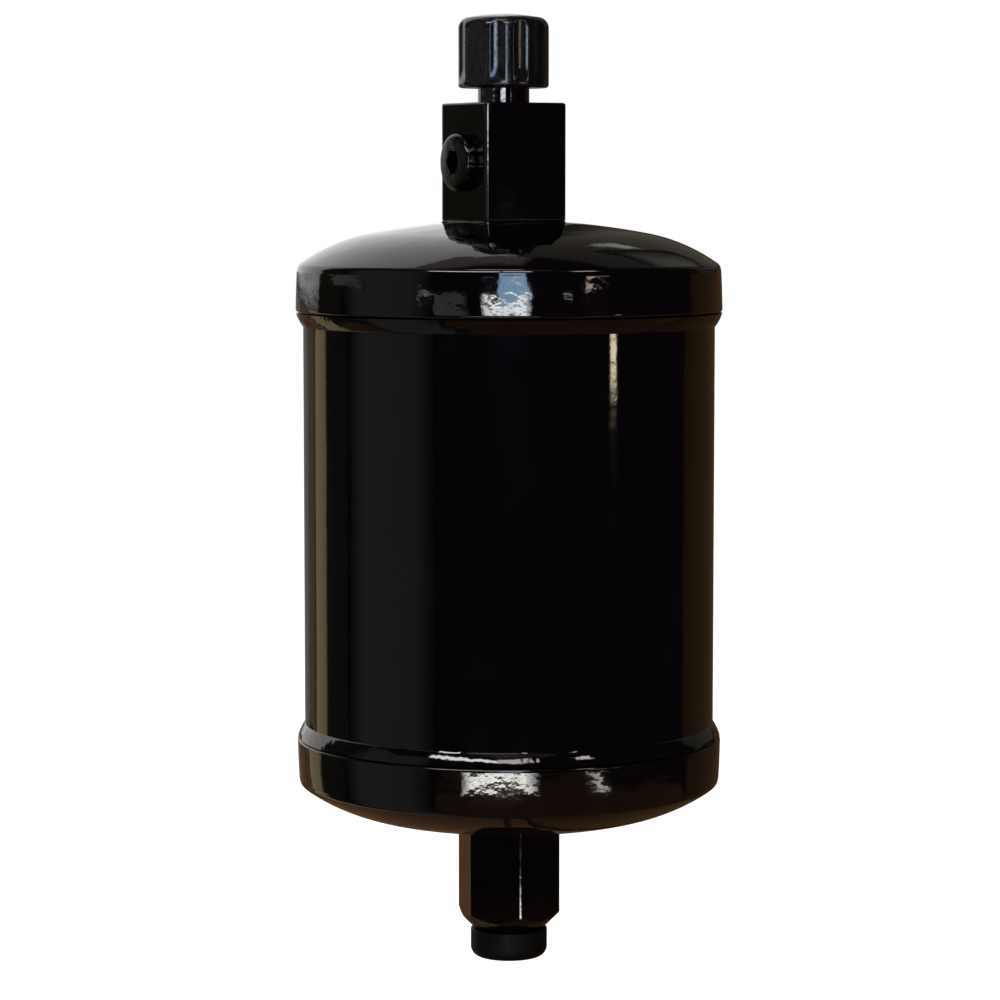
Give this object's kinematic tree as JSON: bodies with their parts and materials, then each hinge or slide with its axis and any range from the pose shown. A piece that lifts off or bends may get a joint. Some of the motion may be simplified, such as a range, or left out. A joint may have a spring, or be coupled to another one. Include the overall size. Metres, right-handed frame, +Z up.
{
  "type": "filter drier",
  "caption": "Welded steel canister with domed ends, a square inlet block with a plugged side port and a capped service valve, and a hexagonal threaded outlet under a dust cap.",
  "frame": {"origin": "the middle of the canister tube, on its axis", "axes": "+Z up the canister's axis, from the outlet fitting to the inlet block; +X and +Y square to it, with the port plug facing 210 degrees round from +X"},
  "size_m": [0.0922, 0.0922, 0.205],
  "materials": {
    "gloss_enamel": "gloss",
    "plug_finish": "satin",
    "moulded_black": "gloss",
    "soft_cap": "satin",
    "seal_rubber": "matte",
    "stem_metal": "satin",
    "core_sleeve": "matte",
    "spring_wire": "satin",
    "pressed_steel": "satin",
    "felt": "matte",
    "desiccant": "matte"
  },
  "bodies": {
    "canister": {"canister_tube": "gloss_enamel", "core_seat_ring": "felt", "core_spring": "spring_wire", "desiccant_core": "desiccant", "inlet_block": "gloss_enamel", "inlet_braze": "gloss_enamel", "inlet_end_cap": "gloss_enamel", "inlet_pad": "felt", "inlet_seam_bead": "gloss_enamel", "outlet_braze": "gloss_enamel", "outlet_end_cap": "gloss_enamel", "outlet_fitting": "gloss_enamel", "outlet_o_ring": "seal_rubber", "outlet_pad": "felt", "outlet_plate": "pressed_steel", "outlet_screen": "pressed_steel", "outlet_seam_bead": "gloss_enamel", "pressure_plate": "pressed_steel", "valve_core_body": "stem_metal", "valve_core_gasket": "core_sleeve", "valve_spring": "spring_wire", "valve_stem": "stem_metal"},
    "access_seal": {"access_cap_gasket": "seal_rubber"},
    "access_cap": {"access_cap": "moulded_black"},
    "valve_pin": {"valve_pin": "stem_metal", "valve_seal": "seal_rubber"},
    "port_seal": {"port_o_ring": "seal_rubber"},
    "port_plug": {"port_plug": "plug_finish"},
    "dust_cap": {"dust_cap": "soft_cap"}
  },
  "joints": [
    {"name": "cap_turn", "type": "hinge", "parent": "access_seal", "child": "access_cap", "pos_m": [-0.0012, 0, 0.1], "axis": [0, 0, 1], "range_deg": [0, 2880]},
    {"name": "cap_lift", "type": "slide", "parent": "canister", "child": "access_seal", "axis": [0, 0, 1], "range_m": [0, 0.01015]},
    {"name": "plug_turn", "type": "hinge", "parent": "port_seal", "child": "port_plug", "pos_m": [-0.0012, 0, 0.0782], "axis": [-0.866, -0.5, 0], "range_deg": [0, 1440]},
    {"name": "plug_out", "type": "slide", "parent": "canister", "child": "port_seal", "axis": [-0.866, -0.5, 0], "range_m": [0, 0.00423]},
    {"name": "pin_press", "type": "slide", "parent": "canister", "child": "valve_pin", "axis": [0, 0, -1], "range_m": [0, 0.0012], "stiffness_N_per_m": 1200, "springref_m": -0.002, "deforming": ["valve_spring"]},
    {"name": "dust_cap_pull", "type": "slide", "parent": "canister", "child": "dust_cap", "axis": [0, 0, -1], "range_m": [0, 0.012]}
  ],
  "couplings": [
    {"joint": "cap_turn", "follows": "cap_lift", "rad_per_m": 4947.4},
    {"joint": "plug_turn", "follows": "plug_out", "rad_per_m": 5936.9}
  ]
}
